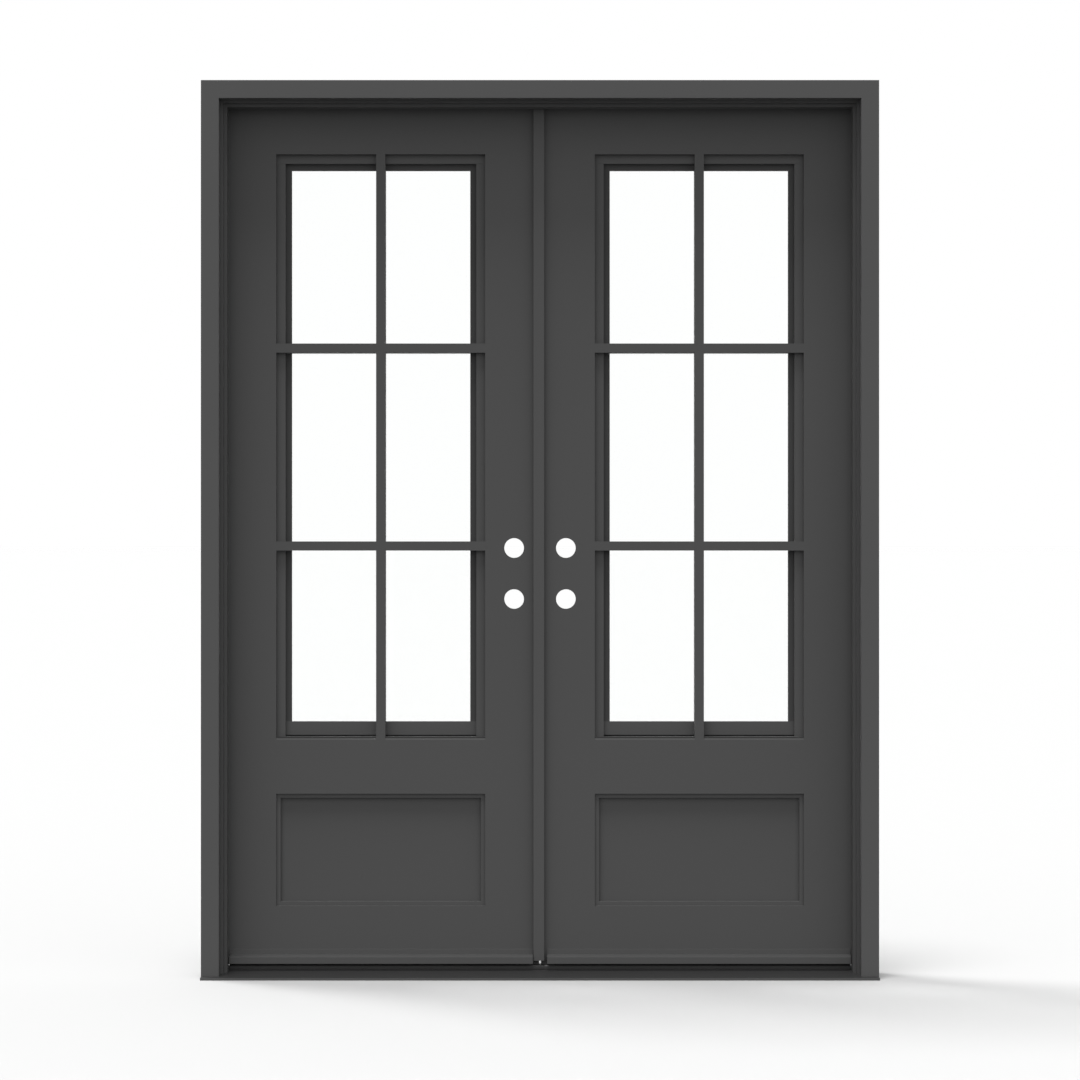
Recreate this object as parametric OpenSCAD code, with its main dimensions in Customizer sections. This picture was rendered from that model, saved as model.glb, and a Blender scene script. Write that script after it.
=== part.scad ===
// French doors: a pair of inswing leaves, each with a six-pane lite over a flat panel, hung in a
// frame of cased jambs and a sloped sill. Millimetres, +Z up, +Y into the room. The origin is on the
// floor, midway between the jambs, in the plane where the casing lies against the wall.

/* [Unit] */
// Overall width, over the casing
unit_w = 1829; // [1600:1:2000]
// Overall height, from the floor to the top of the casing
unit_h = 2425; // [2200:1:2600]

/* [Casing] */
// Face width of the casing
casing_w = 48; // [40:1:56]
// Thickness of the casing
casing_t = 32; // [20:1:40]

/* [Jamb] */
// Depth of the jambs, from the wall's face to the room side
jamb_d = 115; // [110:1:160]
// Thickness of the jambs at the stop
jamb_t = 38; // [34:1:45]
// Jamb edge left bare inside the casing
reveal = 8.7; // [5:0.1:12]
// Rise of the stop above the lip in front of it
stop_rise = 9; // [6:0.5:12]
// Depth of the lip in front of the stop
lip_d = 14; // [8:1:20]
// Depth of the rabbet that a leaf closes into
rabbet = 19; // [16:0.5:22]
// Thickness of the weatherstrip between stop and leaf
seal_t = 10; // [7:0.5:14]

/* [Sill] */
// Height of the sill's front nose
nose_h = 6.6; // [5:0.1:9]
// Projection of the nose in front of the casing
nose_out = 21.5; // [10:0.5:40]
// Rise of the deck over its depth
deck_slope_share = 0.052; // [0:0.002:0.07]
// Wall of the extruded deck
deck_wall = 2.2; // [1.5:0.1:3]
// Height of the seat under the threshold cap
cap_seat_h = 16; // [16:0.5:18]
// Height of the threshold cap's top
cap_top_h = 25; // [22:0.5:27]
// Depth of the threshold cap
cap_d = 44; // [38:1:44]
// Projection of the threshold cap in front of the leaves
cap_out = 13.5; // [8:0.5:16]

/* [Leaf] */
// Thickness of a leaf
leaf_t = 44.5; // [42:0.5:48]
// Height of a leaf's bottom edge above the floor
leaf_lift = 38; // [34:0.5:44]
// Gap between leaf and jamb on the hinge side
hinge_gap = 3; // [2:0.5:4]
// Gap between leaf and head jamb
head_gap = 3; // [2:0.5:5]
// Gap between the two leaves
meeting_gap = 2.1; // [2:0.1:4]
// Bevel of the meeting edges, across the leaf's thickness
edge_bevel = 1.6; // [0.8:0.1:2.4]
// Width of the meeting stiles
lock_stile_w = 148.7; // [130:0.1:165]
// Width of the hinge stiles
hinge_stile_w = 144.3; // [120:0.1:165]
// Height of the bottom rail
bottom_rail_h = 147.6; // [130:0.1:200]
// Height of the mid rail
mid_rail_h = 147.3; // [130:0.1:180]
// Height of the top rail
top_rail_h = 137; // [110:0.5:160]

/* [Panel] */
// Height of the panel's opening
panel_h = 306.2; // [200:0.1:420]
// Depth of the panel's field below the leaf's face
panel_set = 16; // [10:0.5:16]
// Width of the moulding around the panel
moulding_w = 11.5; // [8:0.5:20]
// Depth of the moulding below the leaf's face
moulding_set = 6.5; // [4:0.5:8]

/* [Glazing] */
// Width of the sash's sides
sash_w = 41; // [38:0.5:50]
// Height of the sash's top
sash_head_h = 42.6; // [38:0.1:50]
// Height of the sash's foot
sash_foot_h = 37.2; // [34:0.1:50]
// Depth of the sash's face below the leaf's face
sash_set = 25; // [20:0.5:26]
// Thickness of the sash's lip in front of the glass
lip_t = 2.5; // [2:0.5:3]
// Width of the beads around the sash
bead_w = 24.5; // [15:0.5:28]
// Depth of the beads below the leaf's face
bead_set = 13; // [9:0.5:15]
// Height of the sloped edge under the sash
weathering_h = 8.3; // [5:0.1:12]
// Depth of the sloped edge under the sash
weathering_d = 2; // [1:0.5:4]
// Drainage gap under the sash
weep = 3.6; // [2:0.1:6]
// Thickness of each pane of the sealed glass unit
pane_t = 3; // [3:0.5:4]
// Air space between the panes
air_t = 5; // [4:0.5:6]
// Width of the glazing bars
bar_w = 25; // [16:0.5:32]

/* [Lock bores] */
// Diameter of the bores for the lock and the deadbolt
bore_d = 54; // [38:0.5:54]
// Distance from a meeting edge to the bores
backset = 69.85; // [60:0.05:72]
// Distance between the two bores of a leaf
bore_pitch = 139.7; // [100:0.1:160]
// Height of the middle of the two bores
bore_z = 1093; // [950:1:1150]
// Diameter of the latch bores in the right leaf's meeting edge
latch_d = 25.4; // [20:0.2:26]

/* [Hinges] */
// Number of hinges on a leaf
hinge_count = 4; // [3:1:4]
// Height of a hinge
hinge_h = 102; // [89:1:114]
// Depth of a hinge's plates in the wood
plate_d = 34; // [28:1:38]
// Thickness of a hinge's plates
plate_t = 3; // [2.5:0.1:3.5]
// Diameter of a hinge's barrel
barrel_d = 14; // [12:0.5:16]
// Diameter of a hinge's pin
pin_d = 7.6; // [6:0.2:8]
// Diameter of the hinge screws' heads
screw_head_d = 8.6; // [7.4:0.1:9]
// Diameter of the hinge screws' shanks
screw_d = 4.4; // [3.5:0.1:5]
// Length of the hinge screws
screw_l = 17; // [14:0.5:18]

/* [Astragal and bolts] */
// Width of the astragal
astragal_w = 29.4; // [24:0.1:36]
// Thickness of the astragal
astragal_t = 16; // [10:0.5:18]
// Lap of the astragal past the middle, over the right leaf
astragal_lap = 11.5; // [8:0.1:14]
// Diameter of the flush bolts
bolt_d = 10; // [8:0.5:12]
// Length of the flush bolts
bolt_l = 200; // [160:5:260]
// Travel of the flush bolts
bolt_travel = 22; // [16:0.5:22]

/* [Drip and sweep] */
// Projection of the drip cap in front of the leaf
drip_out = 24; // [16:0.5:26]
// Height of the drip cap's lower edge
drip_z = 31; // [28:0.5:33]
// Height of the drip cap, top to bottom
drip_h = 37; // [32:0.5:50]
// Wall of the drip cap
drip_wall = 2.5; // [1.5:0.1:3]

/* [Hidden] */
$fn = 64;

// Clearances and the overrun of all cuts
fit = 0.3;
run_fit = 0.05;
cut = 5;

// Frame: half widths and heights of the jambs' steps
half_w = unit_w / 2;
casing_in_x = half_w - casing_w;
stop_x = casing_in_x - reveal - stop_rise;
rabbet_x = stop_x + rabbet;
casing_in_z = unit_h - casing_w;
stop_z = casing_in_z - reveal - stop_rise;
rabbet_z = stop_z + rabbet;
face_y = jamb_d - leaf_t;
stop_back_y = face_y - seal_t;

// Weatherstrip: its setback from the stop's edge and the barbed leg in the jamb's kerf
seal_in = 1;
kerf_w = 3;
kerf_d = 8;

// Sill: nose, rear leg of the deck and threshold cap
nose_y = -casing_t - nose_out;
cap_y = face_y - cap_out;
leg_in = 2.5;
leg_y = cap_y + leg_in;
deck_in_y = nose_y + deck_wall;
deck_out_y = leg_y + deck_wall;
cap_ease = 2;
cap_flat_share = 0.85;
cap_back_h = 3;

// Leaf, seen on the right side: the left leaf is its mirror image
leaf_in_x = meeting_gap / 2;
leaf_out_x = rabbet_x - hinge_gap;
leaf_z1 = rabbet_z - head_gap;
lite_x0 = leaf_in_x + lock_stile_w;
lite_x1 = leaf_out_x - hinge_stile_w;
lite_z1 = leaf_z1 - top_rail_h;
panel_z0 = leaf_lift + bottom_rail_h;
panel_z1 = panel_z0 + panel_h;
lite_z0 = panel_z1 + mid_rail_h;
rail_top_z = lite_z0 + weathering_h;
leaf_mid_y = (face_y + jamb_d) / 2;

// Joinery of stiles, rails and panel
tenon_l = 25;
tenon_t = 14;
haunch = 20;
groove_d = 12;
tongue_t = 9;

// Glazing, front to back, and its sight lines
bead_y = face_y + bead_set;
sash_y = face_y + sash_set;
glass_y = sash_y + lip_t;
glass_back_y = glass_y + 2 * pane_t + air_t;
sash_wall = 12;
glass_edge = 2;
spacer_w = 10;
inner_setback = 4;
sash_x0 = lite_x0 + fit;
sash_x1 = lite_x1 - fit;
sash_z0 = rail_top_z + weep;
sash_z1 = lite_z1 - fit;
sight_x0 = sash_x0 + sash_w;
sight_x1 = sash_x1 - sash_w;
sight_z0 = sash_z0 + sash_foot_h;
sight_z1 = sash_z1 - sash_head_h;
bead_z = lite_z1 - bead_w;
pane_edge = sash_wall + glass_edge;
bar_x = (lite_x0 + lite_x1) / 2;
bar_pitch_share = 0.338;
bar_pitch = bar_pitch_share * (lite_z1 - lite_z0);
bar_mid_z = (lite_z0 + lite_z1) / 2;
bar_zs = [bar_mid_z - bar_pitch / 2, bar_mid_z + bar_pitch / 2];

// Hinges: pin axis, corner radius, knuckles and heights of their middles
barrel_gap = 0.5;
pin_x = (leaf_out_x + rabbet_x) / 2;
pin_y = jamb_d + barrel_d / 2 + barrel_gap;
plate_r = 16;
knuckles = 5;
knuckle_gap = 0.3;
knuckle_h = hinge_h / knuckles;
pin_head_h = 4;
hinge_low = 280;
hinge_high = 230;
hinge_step = (leaf_z1 - hinge_high - leaf_lift - hinge_low) / (hinge_count - 1);
hinge_zs = [for (i = [0:hinge_count - 1]) leaf_lift + hinge_low + i * hinge_step];

// Hinge screws: their places on a plate, as shares of its depth and height
screw_depth_shares = [0.68, 0.32, 0.32, 0.68];
screw_height_shares = [-0.37, -0.13, 0.13, 0.37];
screw_sink = 0.1;

// Cross recess of a screw: length and width as shares of the head's diameter, depth of its height
recess_l_share = 0.55;
recess_w_share = 0.15;
recess_h_share = 0.7;

// Lock bores: their heights and distance from the middle, and the latch plates' mortises
latch_plate_w = 25.4;
latch_plate_h = 57.2;
latch_plate_t = 2.5;
bore_x = leaf_in_x + backset;
bore_zs = [bore_z - bore_pitch / 2, bore_z + bore_pitch / 2];

// Flush bolts in the left leaf's meeting edge
bolt_in = 16;
bolt_x = leaf_in_x + bolt_in;
bolt_sink = 1;
strike_gap = 1;
strike_room = 2;
thumb_w = 8;
thumb_h = 12;
thumb_below = 150;
thumb_z = leaf_z1 - thumb_below;
bolt_plate_w = 22;
bolt_plate_h = 120;
bolt_plate_t = 2.5;
bolt_plate_x = leaf_in_x + edge_bevel;

// Astragal, drip cap and sweep
astragal_lift = 0.5;
astragal_room = 0.6;
astragal_ease = 0.5;
drip_end_gap = 2.3;
drip_in_gap = 1.6;
drip_in_x = max(astragal_lap, astragal_w - astragal_lap) + drip_in_gap;
drip_flange_share = 0.37;
drip_nose_share = 0.48;
sweep_plate_t = 3;
sweep_fin_t = 2.5;
sweep_in = 3;
sweep_fin_shares = [0, 0.26, 1];

paint = "#4e4e4f";
metal = "#3c3d3f";
gasket = "#242425";

function deck_z(y) = nose_h + (y - nose_y) * deck_slope_share;

// Shapes used by several pieces

module span(x0, x1, y0, y1, z0, z1) {
  translate([x0, y0, z0]) cube([x1 - x0, y1 - y0, z1 - z0]);
}

// A profile of [y, z] points run along X
module run_x(x0, x1) {
  translate([x0, 0, 0]) rotate([90, 0, 90]) linear_extrude(x1 - x0) children();
}

// A profile of [x, y] points run along Z
module run_z(z0, z1) {
  translate([0, 0, z0]) linear_extrude(z1 - z0) children();
}

module at_left() { mirror([1, 0, 0]) children(); }
module at_right() { children(); }

// The jamb's section: how far out from the stop's face, and how deep from the wall's face
module jamb_section(kerf) {
  polygon([
    [stop_rise, 0], [stop_rise, lip_d], [0, lip_d], [0, stop_back_y],
    [rabbet - kerf, stop_back_y], [rabbet - kerf, stop_back_y - kerf_d],
    [rabbet, stop_back_y - kerf_d], [rabbet, jamb_d], [jamb_t, jamb_d], [jamb_t, 0]
  ]);
}

// The weatherstrip's section, on the same axes: a bulb, its foot and the leg in the kerf
module seal_section() {
  bulb_d = seal_t - fit;
  translate([seal_in + bulb_d / 2, stop_back_y + bulb_d / 2]) circle(d = bulb_d);
  translate([seal_in + bulb_d / 2, stop_back_y]) square([rabbet - fit - seal_in - bulb_d / 2, bulb_d / 2]);
  translate([rabbet - kerf_w + fit, stop_back_y - kerf_d + fit])
    square([kerf_w - 2 * fit, kerf_d]);
}

// All that lies under the casing's legs and the side jambs
module sill_block() {
  run_x(-half_w - cut, half_w + cut)
    polygon([
      [nose_y, -cut], [nose_y, nose_h], [leg_y, deck_z(leg_y)], [leg_y, cap_seat_h],
      [jamb_d + cut, cap_seat_h], [jamb_d + cut, -cut]
    ]);
}

// A hinge plate's outline, [depth, height], with its two inner corners rounded
module plate_outline(grow) {
  d = plate_d + grow;
  h = hinge_h + 2 * grow;
  translate([0, -h / 2 + plate_r]) square([d, h - 2 * plate_r]);
  translate([plate_r, -h / 2]) square([d - plate_r, h]);
  for (s = [-1, 1]) translate([plate_r, s * (h / 2 - plate_r)]) circle(r = plate_r);
}

module plates(x0, grow) {
  for (z = hinge_zs)
    translate([x0, jamb_d - plate_d - grow, z])
      rotate([90, 0, 90]) linear_extrude(plate_t) plate_outline(grow);
}

// One cross-recessed countersunk screw, its head at the origin and its shank along +X, or its hole
module screw(grow) {
  head_h = (screw_head_d - screw_d) / 2;
  recess_l = recess_l_share * screw_head_d;
  recess_w = recess_w_share * screw_head_d;
  recess_h = recess_h_share * head_h;
  rotate([0, 90, 0])
    difference() {
      union() {
        cylinder(d1 = screw_head_d + 2 * grow, d2 = screw_d + 2 * grow, h = head_h);
        cylinder(d = screw_d + 2 * grow, h = screw_l + grow);
        if (grow > 0) translate([0, 0, -cut]) cylinder(d = screw_head_d + 2 * grow, h = cut);
      }
      if (grow == 0)
        for (turn = [0, 90])
          rotate(turn)
            translate([-recess_l / 2, -recess_w / 2, -cut]) cube([recess_l, recess_w, recess_h + cut]);
    }
}

// The screws of every plate on one side: way is 1 for the jamb's and -1 for the leaf's
module screws(x0, way, grow) {
  for (z = hinge_zs, i = [0:len(screw_depth_shares) - 1])
    translate([
      x0 + way * screw_sink, jamb_d - plate_d + screw_depth_shares[i] * plate_d,
      z + screw_height_shares[i] * hinge_h
    ])
      mirror([way < 0 ? 1 : 0, 0, 0]) screw(grow);
}

// The knuckles of one half of each hinge, bored for the pin, with their webs to the plate
module hinge_half(x0, first) {
  difference() {
    union() {
      plates(x0, 0);
      for (z = hinge_zs, k = [first:2:knuckles - 1])
        translate([0, 0, z - hinge_h / 2 + k * knuckle_h + knuckle_gap / 2]) {
          h = knuckle_h - knuckle_gap;
          translate([pin_x, pin_y, 0]) cylinder(d = barrel_d, h = h);
          translate([x0, jamb_d - plate_t, 0]) cube([plate_t, pin_y - jamb_d + plate_t, h]);
        }
    }
    translate([pin_x, pin_y, 0]) cylinder(d = pin_d + 2 * run_fit, h = unit_h);
    children();
  }
}

// The bore that a flush bolt slides in, its thumb's slot and its plate's pocket, at the leaf's top
module bolt_pocket() {
  translate([bolt_x, leaf_mid_y, leaf_z1 - bolt_l - bolt_sink - fit])
    cylinder(d = bolt_d + 2 * fit, h = bolt_l + bolt_sink + fit + cut);
  span(leaf_in_x - cut, bolt_x, leaf_mid_y - thumb_w / 2 - fit, leaf_mid_y + thumb_w / 2 + fit,
    thumb_z - thumb_h / 2 - fit, thumb_z + thumb_h / 2 + bolt_travel + fit);
  span(leaf_in_x - cut, bolt_plate_x + bolt_plate_t,
    leaf_mid_y - bolt_plate_w / 2 - fit, leaf_mid_y + bolt_plate_w / 2 + fit,
    thumb_z - bolt_plate_h / 2 - fit, thumb_z + bolt_plate_h / 2 + fit);
}

module bolt() {
  translate([bolt_x, leaf_mid_y, leaf_z1 - bolt_l - bolt_sink]) cylinder(d = bolt_d, h = bolt_l);
  span(bolt_plate_x, bolt_x, leaf_mid_y - thumb_w / 2, leaf_mid_y + thumb_w / 2,
    thumb_z - thumb_h / 2, thumb_z + thumb_h / 2);
}

module bolt_plate() {
  difference() {
    span(bolt_plate_x, bolt_plate_x + bolt_plate_t,
      leaf_mid_y - bolt_plate_w / 2, leaf_mid_y + bolt_plate_w / 2,
      thumb_z - bolt_plate_h / 2, thumb_z + bolt_plate_h / 2);
    span(bolt_plate_x - cut, bolt_plate_x + bolt_plate_t + cut,
      leaf_mid_y - thumb_w / 2 - fit, leaf_mid_y + thumb_w / 2 + fit,
      thumb_z - thumb_h / 2 - fit, thumb_z + thumb_h / 2 + bolt_travel + fit);
  }
}

// The same fitting turned over, for the leaf's bottom
module at_bottom() {
  translate([0, 0, leaf_lift + leaf_z1]) mirror([0, 0, 1]) children();
}

// Frame

module head_casing() {
  color(paint)
    rotate([90, 0, 0]) linear_extrude(casing_t)
      polygon([
        [-half_w, unit_h], [half_w, unit_h], [casing_in_x, casing_in_z], [-casing_in_x, casing_in_z]
      ]);
}

module side_casing() {
  color(paint)
    difference() {
      rotate([90, 0, 0]) linear_extrude(casing_t)
        polygon([[casing_in_x, 0], [half_w, 0], [half_w, unit_h], [casing_in_x, casing_in_z]]);
      sill_block();
    }
}

module head_jamb() {
  color(paint)
    difference() {
      translate([0, 0, stop_z]) rotate([0, -90, 0])
        linear_extrude(2 * rabbet_x, center = true) jamb_section(kerf_w);
      for (s = [0, 1])
        mirror([s, 0, 0]) translate([stop_x, 0, 0]) run_z(0, unit_h) jamb_section(0);
      translate([-bolt_x, leaf_mid_y, leaf_z1])
        cylinder(d = bolt_d + 2 * strike_gap, h = bolt_travel + strike_room);
    }
}

module side_jamb() {
  color(paint)
    difference() {
      translate([stop_x, 0, 0]) run_z(0, stop_z + jamb_t) jamb_section(kerf_w);
      sill_block();
      plates(rabbet_x, fit);
      screws(rabbet_x, 1, run_fit);
    }
}

module sill_deck() {
  color(metal)
    run_x(-half_w, half_w)
      polygon([
        [nose_y, 0], [nose_y, nose_h], [leg_y, deck_z(leg_y)], [leg_y, cap_seat_h],
        [deck_out_y, cap_seat_h], [deck_out_y, deck_z(deck_out_y) - deck_wall],
        [deck_in_y, deck_z(deck_in_y) - deck_wall], [deck_in_y, 0]
      ]);
}

module sill_core() {
  color(paint)
    difference() {
      run_x(-half_w, half_w)
        polygon([
          [deck_in_y, 0], [deck_in_y, deck_z(deck_in_y) - deck_wall],
          [deck_out_y, deck_z(deck_out_y) - deck_wall], [deck_out_y, cap_seat_h],
          [jamb_d, cap_seat_h], [jamb_d, 0]
        ]);
      bolt_strike();
    }
}

module bolt_strike() {
  translate([-bolt_x, leaf_mid_y, leaf_lift + bolt_sink - bolt_travel - strike_room])
    cylinder(d = bolt_d + 2 * strike_gap, h = bolt_travel);
}

module threshold_cap() {
  end_x = stop_x - fit;
  back_y = cap_y + cap_d;
  color(metal)
    difference() {
      run_x(-end_x, end_x)
        polygon([
          [cap_y, cap_seat_h], [cap_y, cap_top_h - cap_ease], [cap_y + cap_ease, cap_top_h],
          [cap_y + cap_flat_share * cap_d, cap_top_h], [back_y, cap_seat_h + cap_back_h],
          [back_y, cap_seat_h]
        ]);
      bolt_strike();
    }
}

module head_seal() {
  color(gasket)
    translate([0, 0, stop_z]) rotate([0, -90, 0]) linear_extrude(2 * stop_x, center = true) seal_section();
}

module side_seal() {
  color(gasket) translate([stop_x, 0, 0]) run_z(cap_seat_h, rabbet_z - fit) seal_section();
}

module hinge_jamb_plates() {
  color(metal) hinge_half(rabbet_x, 0) screws(rabbet_x, 1, run_fit);
}

module hinge_jamb_screws() { color(metal) screws(rabbet_x, 1, 0); }

module hinge_pins() {
  color(metal)
    for (z = hinge_zs)
      translate([pin_x, pin_y, z - hinge_h / 2]) {
        cylinder(d = pin_d, h = hinge_h);
        translate([0, 0, hinge_h]) cylinder(d = barrel_d, h = pin_head_h);
      }
}

// Leaf

// The mortises that the rails' tenons and the panel's tongue sit in
module stile_mortises() {
  room_x0 = lite_x0 - tenon_l - fit;
  room_x1 = lite_x1 + tenon_l + fit;
  for (z = [[leaf_lift, panel_z0], [panel_z1, lite_z0], [lite_z1, leaf_z1]])
    span(room_x0, room_x1, leaf_mid_y - tenon_t / 2 - fit, leaf_mid_y + tenon_t / 2 + fit,
      z[0] + haunch - fit, z[1] - haunch + fit);
  panel_groove();
}

module panel_groove() {
  span(lite_x0 - groove_d, lite_x1 + groove_d, leaf_mid_y - tongue_t / 2 - fit,
    leaf_mid_y + tongue_t / 2 + fit, panel_z0 - groove_d, panel_z1 + groove_d);
}

module hinge_stile() {
  color(paint)
    difference() {
      span(lite_x1, leaf_out_x, face_y, jamb_d, leaf_lift, leaf_z1);
      stile_mortises();
      plates(leaf_out_x - plate_t, fit);
      screws(leaf_out_x, -1, run_fit);
    }
}

module lock_stile() {
  difference() {
    run_z(leaf_lift, leaf_z1)
      polygon([
        [leaf_in_x + edge_bevel, face_y], [lite_x0, face_y], [lite_x0, jamb_d], [leaf_in_x, jamb_d]
      ]);
    stile_mortises();
    for (z = bore_zs)
      translate([bore_x, face_y - cut, z]) rotate([-90, 0, 0]) cylinder(d = bore_d, h = leaf_t + 2 * cut);
  }
}

// The active leaf's stile, bored and mortised in its edge for the latch and the deadbolt
module right_lock_stile() {
  mortise_x = leaf_in_x + edge_bevel + latch_plate_t;
  color(paint)
    difference() {
      lock_stile();
      for (z = bore_zs) {
        translate([leaf_in_x - cut, leaf_mid_y, z]) rotate([0, 90, 0]) cylinder(d = latch_d, h = backset);
        span(leaf_in_x - cut, mortise_x, leaf_mid_y - latch_plate_w / 2 - fit,
          leaf_mid_y + latch_plate_w / 2 + fit, z - latch_plate_h / 2, z + latch_plate_h / 2);
      }
    }
}

module left_lock_stile() {
  color(paint)
    at_left() difference() {
      lock_stile();
      bolt_pocket();
      at_bottom() bolt_pocket();
    }
}

module rail_tenons(z0, z1) {
  span(lite_x0 - tenon_l, lite_x1 + tenon_l, leaf_mid_y - tenon_t / 2, leaf_mid_y + tenon_t / 2,
    z0 + haunch, z1 - haunch);
}

module top_rail() {
  color(paint)
    union() {
      span(lite_x0, lite_x1, face_y, jamb_d, lite_z1, leaf_z1);
      rail_tenons(lite_z1, leaf_z1);
    }
}

module mid_rail() {
  color(paint)
    difference() {
      union() {
        run_x(lite_x0, lite_x1)
          polygon([
            [face_y, panel_z1], [face_y, lite_z0], [face_y + weathering_d, rail_top_z],
            [jamb_d, rail_top_z], [jamb_d, panel_z1]
          ]);
        rail_tenons(panel_z1, lite_z0);
      }
      panel_groove();
    }
}

module bottom_rail() {
  color(paint)
    difference() {
      union() {
        span(lite_x0, lite_x1, face_y, jamb_d, leaf_lift, panel_z0);
        rail_tenons(leaf_lift, panel_z0);
      }
      panel_groove();
    }
}

module panel() {
  reach = groove_d - fit;
  color(paint)
    union() {
      span(lite_x0, lite_x1, face_y + panel_set, jamb_d - panel_set, panel_z0, panel_z1);
      span(lite_x0 - reach, lite_x1 + reach, leaf_mid_y - tongue_t / 2, leaf_mid_y + tongue_t / 2,
        panel_z0 - reach, panel_z1 + reach);
    }
}

module panel_moulding(y0, y1) {
  color(paint)
    difference() {
      span(lite_x0, lite_x1, y0, y1, panel_z0, panel_z1);
      span(lite_x0 + moulding_w, lite_x1 - moulding_w, y0 - cut, y1 + cut,
        panel_z0 + moulding_w, panel_z1 - moulding_w);
    }
}

module outer_panel_moulding() { panel_moulding(face_y + moulding_set, face_y + panel_set); }
module inner_panel_moulding() { panel_moulding(jamb_d - panel_set, jamb_d - moulding_set); }

// The sash's heel stands on the mid rail, behind the drainage gap
module sash() {
  color(paint)
    difference() {
      union() {
        span(sash_x0, sash_x1, sash_y, jamb_d, sash_z0, sash_z1);
        span(sash_x0, sash_x1, glass_back_y, jamb_d, rail_top_z, sash_z0);
      }
      span(sight_x0, sight_x1, sash_y - cut, jamb_d + cut, sight_z0, sight_z1);
      span(sash_x0 + sash_wall, sash_x1 - sash_wall, glass_y, jamb_d + cut,
        sash_z0 + sash_wall, sash_z1 - sash_wall);
    }
}

module glass_panes() {
  color("lightcyan", 0.3)
    for (y = [glass_y, glass_y + pane_t + air_t])
      span(sash_x0 + pane_edge, sash_x1 - pane_edge, y, y + pane_t,
        sash_z0 + pane_edge, sash_z1 - pane_edge);
}

module glass_spacer() {
  in_edge = pane_edge + spacer_w;
  y0 = glass_y + pane_t;
  color(gasket)
    difference() {
      span(sash_x0 + pane_edge, sash_x1 - pane_edge, y0, y0 + air_t,
        sash_z0 + pane_edge, sash_z1 - pane_edge);
      span(sash_x0 + in_edge, sash_x1 - in_edge, y0 - cut, y0 + air_t + cut,
        sash_z0 + in_edge, sash_z1 - in_edge);
    }
}

// Beads on three sides: the sash's foot is left bare to drain
module outer_beads() {
  color(paint) {
    span(lite_x0, lite_x1, bead_y, sash_y, bead_z, lite_z1);
    for (x = [lite_x0, lite_x1 - bead_w])
      span(x, x + bead_w, bead_y, sash_y, rail_top_z, bead_z - fit);
  }
}

module inner_beads() {
  x0 = sash_x0 + sash_wall;
  x1 = sash_x1 - sash_wall;
  z0 = sash_z0 + sash_wall;
  z1 = sash_z1 - sash_wall;
  side_w = sash_w - sash_wall - inner_setback;
  foot_h = sash_foot_h - sash_wall - inner_setback;
  head_h = sash_head_h - sash_wall - inner_setback;
  color(paint) {
    span(x0, x1, glass_back_y, jamb_d, z0, z0 + foot_h);
    span(x0, x1, glass_back_y, jamb_d, z1 - head_h, z1);
    for (x = [x0, x1 - side_w])
      span(x, x + side_w, glass_back_y, jamb_d, z0 + foot_h + fit, z1 - head_h - fit);
  }
}

// Outer bars: flush with the leaf's face, stepped over the beads and the sash down to the glass
module outer_grille() {
  bead_x0 = lite_x0 + bead_w;
  bead_x1 = lite_x1 - bead_w;
  color(paint)
    union() {
      run_x(bar_x - bar_w / 2, bar_x + bar_w / 2)
        polygon([
          [face_y, lite_z0], [face_y, lite_z1], [bead_y, lite_z1], [bead_y, bead_z], [sash_y, bead_z],
          [sash_y, sight_z1], [glass_y, sight_z1], [glass_y, sight_z0], [sash_y, sight_z0],
          [sash_y, rail_top_z], [face_y + weathering_d, rail_top_z]
        ]);
      for (z = bar_zs)
        run_z(z - bar_w / 2, z + bar_w / 2)
          polygon([
            [lite_x0, face_y], [lite_x1, face_y], [lite_x1, bead_y], [bead_x1, bead_y],
            [bead_x1, sash_y], [sight_x1, sash_y], [sight_x1, glass_y], [sight_x0, glass_y],
            [sight_x0, sash_y], [bead_x0, sash_y], [bead_x0, bead_y], [lite_x0, bead_y]
          ]);
    }
}

module inner_grille() {
  x0 = sight_x0 - inner_setback;
  x1 = sight_x1 + inner_setback;
  z0 = sight_z0 - inner_setback;
  z1 = sight_z1 + inner_setback;
  color(paint)
    union() {
      span(bar_x - bar_w / 2, bar_x + bar_w / 2, glass_back_y, jamb_d, z0, z1);
      for (z = bar_zs) span(x0, x1, glass_back_y, jamb_d, z - bar_w / 2, z + bar_w / 2);
    }
}

module drip_cap() {
  top_z = drip_z + drip_h;
  flange_z = top_z - drip_flange_share * drip_h;
  nose_z = drip_z + drip_nose_share * drip_h;
  out_y = face_y - drip_out;
  color(paint)
    run_x(drip_in_x, stop_x - drip_end_gap)
      polygon([
        [face_y, top_z], [face_y - drip_wall, top_z], [face_y - drip_wall, flange_z],
        [out_y + drip_wall, nose_z + drip_wall], [out_y, nose_z], [out_y, drip_z],
        [out_y + drip_wall, drip_z], [out_y + drip_wall, nose_z], [face_y, flange_z - drip_wall]
      ]);
}

module sweep() {
  tip_z = cap_top_h + fit;
  y0 = face_y + sweep_in;
  y1 = jamb_d - sweep_in - sweep_fin_t;
  union() {
    span(leaf_in_x + edge_bevel, leaf_out_x, y0, y1 + sweep_fin_t, leaf_lift - sweep_plate_t, leaf_lift);
    for (s = sweep_fin_shares) {
      y = y0 + s * (y1 - y0);
      span(leaf_in_x + edge_bevel, leaf_out_x, y, y + sweep_fin_t, tip_z, leaf_lift - sweep_plate_t);
    }
  }
}

module right_sweep() { color(gasket) sweep(); }

module left_sweep() {
  color(gasket)
    at_left() difference() {
      sweep();
      translate([bolt_x, leaf_mid_y, 0]) cylinder(d = bolt_d + 2 * strike_gap, h = leaf_lift + cut);
    }
}

module hinge_leaf_plates() {
  color(metal) hinge_half(leaf_out_x - plate_t, 1) screws(leaf_out_x, -1, run_fit);
}

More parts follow.
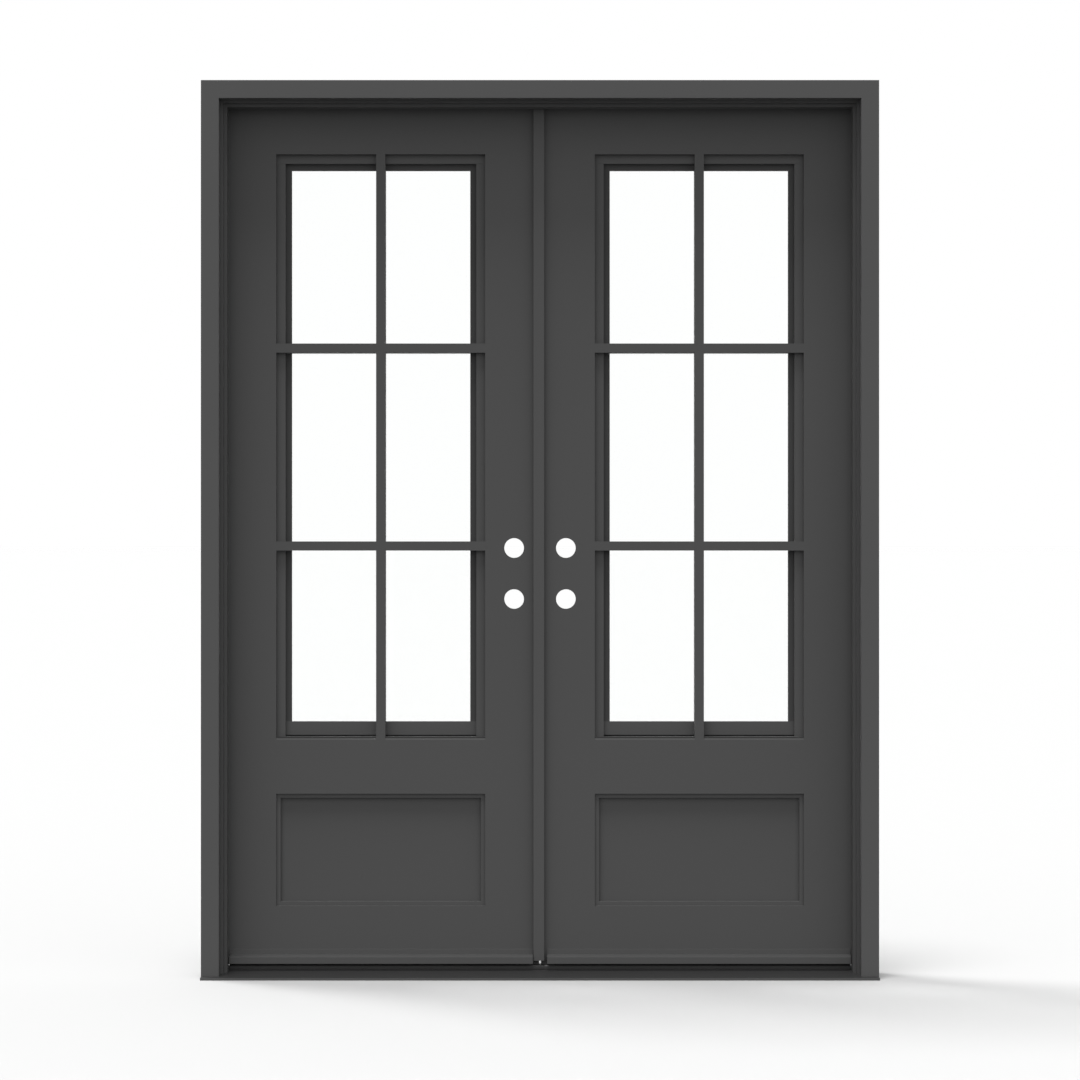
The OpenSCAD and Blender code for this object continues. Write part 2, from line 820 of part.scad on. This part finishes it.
module hinge_leaf_screws() { color(metal) screws(leaf_out_x, -1, 0); }

// Astragal: a flat bar on the left leaf's face that covers the gap and laps the right leaf
module astragal() {
  x0 = astragal_lap - astragal_w;
  front_y = face_y - astragal_t;
  seat_x = -leaf_in_x - edge_bevel;
  color(paint)
    run_z(leaf_lift, stop_z - astragal_lift)
      polygon([
        [x0, face_y], [x0, front_y + astragal_ease], [x0 + astragal_ease, front_y],
        [astragal_lap - astragal_ease, front_y], [astragal_lap, front_y + astragal_ease],
        [astragal_lap, face_y - astragal_room], [seat_x, face_y - astragal_room], [seat_x, face_y]
      ]);
}

module top_bolt() { color(metal) at_left() bolt(); }
module bottom_bolt() { color(metal) at_left() at_bottom() bolt(); }

module bolt_plates() {
  color(metal)
    at_left() {
      bolt_plate();
      at_bottom() bolt_plate();
    }
}

head_casing();
head_jamb();
sill_deck();
sill_core();
threshold_cap();
head_seal();
at_left() side_casing();  // left_casing
at_left() side_jamb();  // left_jamb
at_left() side_seal();  // left_seal
at_left() hinge_jamb_plates();  // left_hinge_jamb_plates
at_left() hinge_jamb_screws();  // left_hinge_jamb_screws
at_left() hinge_pins();  // left_hinge_pins
at_right() side_casing();  // right_casing
at_right() side_jamb();  // right_jamb
at_right() side_seal();  // right_seal
at_right() hinge_jamb_plates();  // right_hinge_jamb_plates
at_right() hinge_jamb_screws();  // right_hinge_jamb_screws
at_right() hinge_pins();  // right_hinge_pins
at_left() hinge_stile();  // left_hinge_stile
left_lock_stile();
at_left() top_rail();  // left_top_rail
at_left() mid_rail();  // left_mid_rail
at_left() bottom_rail();  // left_bottom_rail
at_left() panel();  // left_panel
at_left() outer_panel_moulding();  // left_outer_panel_moulding
at_left() inner_panel_moulding();  // left_inner_panel_moulding
at_left() sash();  // left_sash
at_left() glass_panes();  // left_glass_panes
at_left() glass_spacer();  // left_glass_spacer
at_left() outer_beads();  // left_outer_beads
at_left() inner_beads();  // left_inner_beads
at_left() outer_grille();  // left_outer_grille
at_left() inner_grille();  // left_inner_grille
at_left() drip_cap();  // left_drip_cap
left_sweep();
at_left() hinge_leaf_plates();  // left_hinge_leaf_plates
at_left() hinge_leaf_screws();  // left_hinge_leaf_screws
at_right() hinge_stile();  // right_hinge_stile
right_lock_stile();
at_right() top_rail();  // right_top_rail
at_right() mid_rail();  // right_mid_rail
at_right() bottom_rail();  // right_bottom_rail
at_right() panel();  // right_panel
at_right() outer_panel_moulding();  // right_outer_panel_moulding
at_right() inner_panel_moulding();  // right_inner_panel_moulding
at_right() sash();  // right_sash
at_right() glass_panes();  // right_glass_panes
at_right() glass_spacer();  // right_glass_spacer
at_right() outer_beads();  // right_outer_beads
at_right() inner_beads();  // right_inner_beads
at_right() outer_grille();  // right_outer_grille
at_right() inner_grille();  // right_inner_grille
at_right() drip_cap();  // right_drip_cap
right_sweep();
at_right() hinge_leaf_plates();  // right_hinge_leaf_plates
at_right() hinge_leaf_screws();  // right_hinge_leaf_screws
astragal();
top_bolt();
bottom_bolt();
bolt_plates();
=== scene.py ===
import math

import bpy
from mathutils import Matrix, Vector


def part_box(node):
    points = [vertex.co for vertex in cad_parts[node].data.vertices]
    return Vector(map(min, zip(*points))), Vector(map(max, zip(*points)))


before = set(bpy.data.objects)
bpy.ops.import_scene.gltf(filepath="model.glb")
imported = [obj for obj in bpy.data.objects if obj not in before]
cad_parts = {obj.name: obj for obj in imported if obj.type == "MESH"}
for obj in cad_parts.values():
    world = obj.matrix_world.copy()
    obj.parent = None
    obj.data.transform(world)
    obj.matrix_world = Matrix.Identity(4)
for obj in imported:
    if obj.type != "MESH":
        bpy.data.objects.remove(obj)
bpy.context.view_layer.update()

# Camera: level, square to the doors, on the photograph's frame
CAMERA_PLACE = (0.0, -8.032, 1.1848)
CAMERA_LENS = 98.9
CAMERA_SENSOR = 36.0

# Tones of paint, metal and plastic, linear
LEAF_GREY = 0.075
FRAME_GREY = 0.0836
# Darker than the frame's paint, as painted shade in the recess
JAMB_SHADE_GREY = 0.072
ASTRAGAL_GREY = 0.0774
DRIP_GREY = 0.077
# Painted shade: darker tones for the drip cap's flare, the mid rail's top edge and the sash's outer face
DRIP_FLARE_SHADE_GREY = 0.0475
RAIL_TOP_SHADE_GREY = 0.031
SASH_SHADE_GREY = 0.052
# Painted shade: the sill deck is darker than its nose
SILL_DECK_SHADE_GREY = 0.0245
NOSE_GREY = 0.063
THRESHOLD_GREY = 0.034
SWEEP_GREY = 0.06
RUBBER_BLACK = 0.014
HARDWARE_BLACK = 0.022
SPACER_GREY = 0.06
GLASS_TINTS = ((0.992, 0.998, 0.995, 1.0), (0.998, 1.0, 0.999, 1.0))

# How far a tone strays to either side, as a share of it
PAINT_STRAY = 0.03
METAL_STRAY = 0.03
HARDWARE_STRAY = 0.06
RUBBER_STRAY = 0.15
FLOOR_STRAY = 0.002

# Painted shade: a darker paint tone where shade falls, on the drip cap's sloped flare, on the mid rail's
# top edge under the sash, and on the sash's outer face above its foot. Each has a lower and an upper height
# and a depth that it ends at
DRIP_FLARE_SHADE = (0.0486, 0.0541, 0.08)
RAIL_TOP_SHADE_H = 0.0042
RAIL_TOP_SHADE_IN = 0.08
SASH_FOOT_H = 0.0408
SASH_SHADE_IN = 0.0972
SHADE_FADE = 0.0004

# Depth of the sill's nose face that keeps the nose's tone; behind it the deck takes a darker tone as
# painted shade
NOSE_EDGE = 0.0006

# Grain: how fine a pattern is along X, Y and Z, in waves to a metre
PEEL_GRAIN = (520.0, 520.0, 520.0)
UPRIGHT_STROKES = (160.0, 160.0, 5.0)
CROSS_STROKES = (5.0, 160.0, 160.0)
PAINT_DRIFT = (1.6, 1.6, 1.6)
SILL_LINES = (3.0, 420.0, 420.0)
SPACER_LINES = (40.0, 40.0, 40.0)
METAL_DRIFT = (2.0, 2.0, 2.0)
HARDWARE_GRAIN = (900.0, 900.0, 900.0)
HARDWARE_DRIFT = (14.0, 14.0, 14.0)
RUBBER_GRAIN = (700.0, 700.0, 700.0)
GLASS_DRIFT = (1.2, 1.2, 1.2)
FLOOR_DRIFT = (0.2, 0.2, 0.2)

# Roughness of each finish, and how much its grain adds to it
PAINT_ROUGH, PAINT_ROUGH_ADDED = 0.52, 0.08
METAL_ROUGH, METAL_ROUGH_ADDED = 0.38, 0.12
HARDWARE_ROUGH, HARDWARE_ROUGH_ADDED = 0.34, 0.1
RUBBER_ROUGH, RUBBER_ROUGH_ADDED = 0.6, 0.1
THRESHOLD_ROUGH = 0.5

# Relief of each finish: depth in metres and strength
PAINT_RELIEF = (0.0002, 0.35)
METAL_RELIEF = (0.0001, 0.3)
HARDWARE_RELIEF = (0.0001, 0.25)
RUBBER_RELIEF = (0.0002, 0.4)
PEEL_SHARE, STROKE_SHARE = 0.7, 0.3

# Sheen: the paint's and the rubber's are low, and the two metals shine as metal in part
PAINT_SHEEN = 0.03
RUBBER_SHEEN = 0.25
METAL_SHARE = 0.25
HARDWARE_METAL_SHARE = 0.6
GLASS_IOR = 1.45

# Light: an even sky, a dimmer glow from below and two soft lamps, one from the left and behind and
# one overhead. A level of 1 lights a surface so that its colour shows as it is written
SKY_LEVEL = 1.22
GLOW_LEVEL = 0.32
HORIZON_BLUR = 0.1
SIDE_LAMP = {"height": 59.0, "bearing": -122.0, "spread": 17.0, "level": 0.85}
TOP_LAMP = {"height": 79.0, "bearing": -20.0, "spread": 17.0, "level": 1.06}
FLOOR_HALF = 400.0
FLOOR_WHITE = 0.334
WHITE = (1.0, 1.0, 1.0, 1.0)


class Value:
    """A socket of a finish's node tree: sums, differences and products of values add Math nodes."""

    def __init__(self, finish, socket):
        self.finish = finish
        self.socket = socket

    def _math(self, operation, first, second):
        return self.finish.node("ShaderNodeMath", {"operation": operation}, {0: first, 1: second})

    def __add__(self, other):
        return self._math("ADD", self, other)

    def __radd__(self, other):
        return self._math("ADD", other, self)

    def __sub__(self, other):
        return self._math("SUBTRACT", self, other)

    def __rsub__(self, other):
        return self._math("SUBTRACT", other, self)

    def __mul__(self, other):
        return self._math("MULTIPLY", self, other)

    def __rmul__(self, other):
        return self._math("MULTIPLY", other, self)


class Finish:
    """One material or world, and the nodes that are added to its tree."""

    def __init__(self, holder):
        self.holder = holder
        holder.use_nodes = True
        self.tree = holder.node_tree
        self.tree.nodes.clear()

    def node(self, kind, settings=None, sockets=None, out=0):
        made = self.tree.nodes.new(kind)
        for name, value in (settings or {}).items():
            setattr(made, name, value)
        for key, value in (sockets or {}).items():
            if isinstance(value, Value):
                self.tree.links.new(value.socket, made.inputs[key])
            else:
                made.inputs[key].default_value = value
        return Value(self, made.outputs[out]) if made.outputs else None

    def noise(self, grain, detail=2.0, roughness=0.5):
        """A soft random pattern on object coordinates."""
        point = self.node("ShaderNodeTexCoord", out="Object")
        point = self.node("ShaderNodeMapping", {}, {"Vector": point, "Scale": grain})
        return self.node("ShaderNodeTexNoise", {}, {
            "Vector": point, "Scale": 1.0, "Detail": detail, "Roughness": roughness,
        })

    def along(self, axis, start, end):
        """0 up to start and 1 past end, in metres along an axis of the object."""
        point = self.node("ShaderNodeTexCoord", out="Object")
        place = self.node("ShaderNodeSeparateXYZ", {}, {"Vector": point}, out=axis)
        return self.node("ShaderNodeMapRange", {}, {"Value": place, "From Min": start, "From Max": end})

    def blend(self, share, first, second):
        """A colour between two, by a value from 0 to 1."""
        return self.node(
            "ShaderNodeMix", {"data_type": "RGBA"}, {"Factor": share, "A": first, "B": second}, out="Result"
        )

    def stray(self, pattern, tone, share):
        """A grey that strays from its tone with a pattern."""
        return self.blend(pattern, grey(tone * (1 - share)), grey(tone * (1 + share)))

    def bump(self, height, depth, strength):
        return self.node("ShaderNodeBump", {}, {"Height": height, "Distance": depth, "Strength": strength})

    def surface(self, shader):
        self.node("ShaderNodeOutputMaterial", {}, {"Surface": shader})
        return self.holder


def new_finish(name):
    return Finish(bpy.data.materials.new(name))


def grey(tone):
    return (tone, tone, tone, 1.0)


def low_sheen_paint(name, tone, stroke, shade_tone=0.0, shade_place=None):
    """Sprayed paint: a fine orange peel, faint strokes along the piece and a slow drift of tone. Given a
    shade tone and place, it adds painted shade: a darker tone between two heights, in front of a depth.
    """
    f = new_finish(name)
    peel = f.noise(PEEL_GRAIN, detail=1.0)
    strokes = f.noise(stroke)
    tint = f.stray(f.noise(PAINT_DRIFT), tone, PAINT_STRAY)
    # Painted shade: the darker tone between the two heights and in front of the depth
    if shade_place:
        low, high, inner = shade_place
        above = f.along("Z", low, low + SHADE_FADE)
        below = 1.0 - f.along("Z", high, high + SHADE_FADE)
        outside = 1.0 - f.along("Y", inner, inner + SHADE_FADE)
        shade_tint = f.stray(f.noise(PAINT_DRIFT), shade_tone, PAINT_STRAY)
        tint = f.blend(above * below * outside, tint, shade_tint)
    return f.surface(f.node("ShaderNodeBsdfPrincipled", {}, {
        "Base Color": tint,
        "Roughness": PAINT_ROUGH + PAINT_ROUGH_ADDED * strokes,
        "Specular IOR Level": PAINT_SHEEN,
        "Normal": f.bump(PEEL_SHARE * peel + STROKE_SHARE * strokes, *PAINT_RELIEF),
    }))


def anodised_metal(name, tone, lines, nose_y=None):
    """Dark anodised extrusion with fine lines from the die. Given a nose, the nose's face keeps the nose's
    tone and everything behind it takes the darker tone, as painted shade.
    """
    f = new_finish(name)
    draw_lines = f.noise(lines, detail=3.0, roughness=0.6)
    tint = f.stray(f.noise(METAL_DRIFT), tone, METAL_STRAY)
    # Painted shade: behind the nose's face the metal takes the darker tone
    if nose_y is not None:
        tint = f.blend(f.along("Y", nose_y + NOSE_EDGE, nose_y + 2 * NOSE_EDGE), grey(NOSE_GREY), tint)
    return f.surface(f.node("ShaderNodeBsdfPrincipled", {}, {
        "Base Color": tint,
        "Metallic": METAL_SHARE,
        "Roughness": METAL_ROUGH + METAL_ROUGH_ADDED * draw_lines,
        "Normal": f.bump(draw_lines, *METAL_RELIEF),
    }))


def black_hardware(name):
    """Satin black coated steel of the hinges and bolts."""
    f = new_finish(name)
    speckle = f.noise(HARDWARE_GRAIN)
    return f.surface(f.node("ShaderNodeBsdfPrincipled", {}, {
        "Base Color": f.stray(f.noise(HARDWARE_DRIFT), HARDWARE_BLACK, HARDWARE_STRAY),
        "Metallic": HARDWARE_METAL_SHARE,
        "Roughness": HARDWARE_ROUGH + HARDWARE_ROUGH_ADDED * speckle,
        "Normal": f.bump(speckle, *HARDWARE_RELIEF),
    }))


def matte_rubber(name, tone, roughness=RUBBER_ROUGH):
    """Rubber or moulded plastic with a fine matte grain."""
    f = new_finish(name)
    grain = f.noise(RUBBER_GRAIN, detail=3.0)
    return f.surface(f.node("ShaderNodeBsdfPrincipled", {}, {
        "Base Color": f.stray(grain, tone, RUBBER_STRAY),
        "Roughness": roughness + RUBBER_ROUGH_ADDED * grain,
        "Specular IOR Level": RUBBER_SHEEN,
        "Normal": f.bump(grain, *RUBBER_RELIEF),
    }))


def clear_glass(name):
    """Clear float glass with the faintest green drift, which lets the lamps' light straight through."""
    f = new_finish(name)
    pane = f.node("ShaderNodeBsdfPrincipled", {}, {
        "Base Color": f.blend(f.noise(GLASS_DRIFT), *GLASS_TINTS),
        "Roughness": 0.0,
        "IOR": GLASS_IOR,
        "Transmission Weight": 1.0,
    })
    clear = f.node("ShaderNodeBsdfTransparent")
    lamp_light = f.node("ShaderNodeLightPath", out="Is Shadow Ray")
    return f.surface(f.node("ShaderNodeMixShader", {}, {0: lamp_light, 1: pane, 2: clear}))


leaf_upright = low_sheen_paint("leaf_paint_upright", LEAF_GREY, UPRIGHT_STROKES)
leaf_cross = low_sheen_paint("leaf_paint_cross", LEAF_GREY, CROSS_STROKES)
frame_upright = low_sheen_paint("frame_paint_upright", FRAME_GREY, UPRIGHT_STROKES)
frame_cross = low_sheen_paint("frame_paint_cross", FRAME_GREY, CROSS_STROKES)
# The jambs' paint is darker than the frame's, as painted shade in the recess
jamb_shade_upright = low_sheen_paint("jamb_painted_shade_upright", JAMB_SHADE_GREY, UPRIGHT_STROKES)
jamb_shade_cross = low_sheen_paint("jamb_painted_shade_cross", JAMB_SHADE_GREY, CROSS_STROKES)
astragal_paint = low_sheen_paint("astragal_paint", ASTRAGAL_GREY, UPRIGHT_STROKES)
# The drip cap's sloped flare takes a darker tone as painted shade
drip_paint_and_shade = low_sheen_paint("drip_paint_and_shade", DRIP_GREY, CROSS_STROKES, DRIP_FLARE_SHADE_GREY, DRIP_FLARE_SHADE)

# The mid rail's top edge under the sash takes a darker tone as painted shade
rail_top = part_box("left_mid_rail")[1][2]
rail_top_shade = (rail_top - RAIL_TOP_SHADE_H, rail_top, RAIL_TOP_SHADE_IN)
mid_rail_paint_and_shade = low_sheen_paint("mid_rail_paint_and_shade", LEAF_GREY, CROSS_STROKES, RAIL_TOP_SHADE_GREY, rail_top_shade)

# The sash's outer face above its foot takes a darker tone as painted shade in the recess
sash_low, sash_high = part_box("left_sash")
sash_shade = (sash_low[2] + SASH_FOOT_H, sash_high[2], SASH_SHADE_IN)
sash_paint_and_shade = low_sheen_paint("sash_paint_and_shade", LEAF_GREY, UPRIGHT_STROKES, SASH_SHADE_GREY, sash_shade)

# The sill deck behind its nose takes a darker tone as painted shade
sill_nose_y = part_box("sill_deck")[0][1]
sill_metal = anodised_metal("sill_metal", SILL_DECK_SHADE_GREY, SILL_LINES, sill_nose_y)
spacer_metal = anodised_metal("spacer_metal", SPACER_GREY, SPACER_LINES)
threshold = matte_rubber("threshold_plastic", THRESHOLD_GREY, THRESHOLD_ROUGH)
seal_rubber = matte_rubber("weatherstrip_rubber", RUBBER_BLACK)
sweep_rubber = matte_rubber("sweep_rubber", SWEEP_GREY)
hardware = black_hardware("hinge_and_bolt_metal")
glass = clear_glass("glass")

# The finish of each node, by its name without its side
FINISHES = {
    "head_casing": frame_cross, "casing": frame_upright, "head_jamb": jamb_shade_cross, "jamb": jamb_shade_upright,
    "sill_deck": sill_metal, "sill_core": threshold, "threshold_cap": threshold,
    "head_seal": seal_rubber, "seal": seal_rubber, "sweep": sweep_rubber,
    "hinge_jamb_plates": hardware, "hinge_jamb_screws": hardware, "hinge_pins": hardware,
    "hinge_leaf_plates": hardware, "hinge_leaf_screws": hardware,
    "top_bolt": hardware, "bottom_bolt": hardware, "bolt_plates": hardware,
    "hinge_stile": leaf_upright, "lock_stile": leaf_upright,
    "top_rail": leaf_cross, "mid_rail": mid_rail_paint_and_shade, "bottom_rail": leaf_cross,
    "panel": leaf_cross, "outer_panel_moulding": leaf_cross, "inner_panel_moulding": leaf_cross,
    "sash": sash_paint_and_shade, "outer_beads": leaf_upright, "inner_beads": leaf_upright,
    "outer_grille": leaf_upright, "inner_grille": leaf_upright,
    "glass_panes": glass, "glass_spacer": spacer_metal,
    "drip_cap": drip_paint_and_shade, "astragal": astragal_paint,
}

for name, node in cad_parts.items():
    bare_name = name.removeprefix("left_").removeprefix("right_")
    node.data.materials.clear()
    node.data.materials.append(FINISHES[bare_name])


# Stage: floor, world, lamps and camera

def lay_floor():
    """White under the lamps, with the object's shadow. The glow from below passes through it."""
    bpy.ops.mesh.primitive_plane_add(size=2 * FLOOR_HALF)
    floor = bpy.context.object
    floor.name = "floor"
    floor.visible_diffuse = False
    f = new_finish("floor_white")
    tint = f.stray(f.noise(FLOOR_DRIFT), FLOOR_WHITE, FLOOR_STRAY)
    floor.data.materials.append(f.surface(f.node("ShaderNodeBsdfDiffuse", {}, {"Color": tint})))


def light_world():
    """White where the camera, a reflection or the glass looks at it, and a sky and a glow as a light."""
    world = bpy.data.worlds.new("studio")
    bpy.context.scene.world = world
    f = Finish(world)
    way = f.node("ShaderNodeTexCoord", out="Generated")
    lift = f.node("ShaderNodeSeparateXYZ", {}, {"Vector": way}, out="Z")
    level = f.node("ShaderNodeMapRange", {}, {
        "Value": lift, "From Min": -HORIZON_BLUR, "From Max": HORIZON_BLUR,
        "To Min": GLOW_LEVEL, "To Max": SKY_LEVEL,
    })
    seen = f.node("ShaderNodeLightPath", out="Is Camera Ray")
    for ray_name in ("Is Glossy Ray", "Is Transmission Ray"):
        ray = f.node("ShaderNodeLightPath", out=ray_name)
        seen = f.node("ShaderNodeMath", {"operation": "MAXIMUM"}, {0: seen, 1: ray})
    strength = level + seen * (1.0 - level)
    sky = f.node("ShaderNodeBackground", {}, {"Color": WHITE, "Strength": strength})
    f.node("ShaderNodeOutputWorld", {}, {"Surface": sky})


def hang_lamp(name, height, bearing, spread, level):
    """A far, soft lamp: degrees above the floor, degrees round from the front, and how wide it is."""
    lamp = bpy.data.lights.new(name, "SUN")
    lamp.energy = level * math.pi
    lamp.angle = math.radians(spread)
    light = bpy.data.objects.new(name, lamp)
    bpy.context.scene.collection.objects.link(light)
    light.rotation_euler = (math.radians(90.0 - height), 0.0, math.radians(bearing))


def set_camera():
    lens = bpy.data.cameras.new("camera")
    lens.lens = CAMERA_LENS
    lens.sensor_width = CAMERA_SENSOR
    camera = bpy.data.objects.new("camera", lens)
    bpy.context.scene.collection.objects.link(camera)
    camera.location = CAMERA_PLACE
    camera.rotation_euler = (math.pi / 2, 0.0, 0.0)
    bpy.context.scene.camera = camera


lay_floor()
light_world()
hang_lamp("side_lamp", **SIDE_LAMP)
hang_lamp("top_lamp", **TOP_LAMP)
set_camera()
bpy.context.scene.view_settings.view_transform = "Standard"
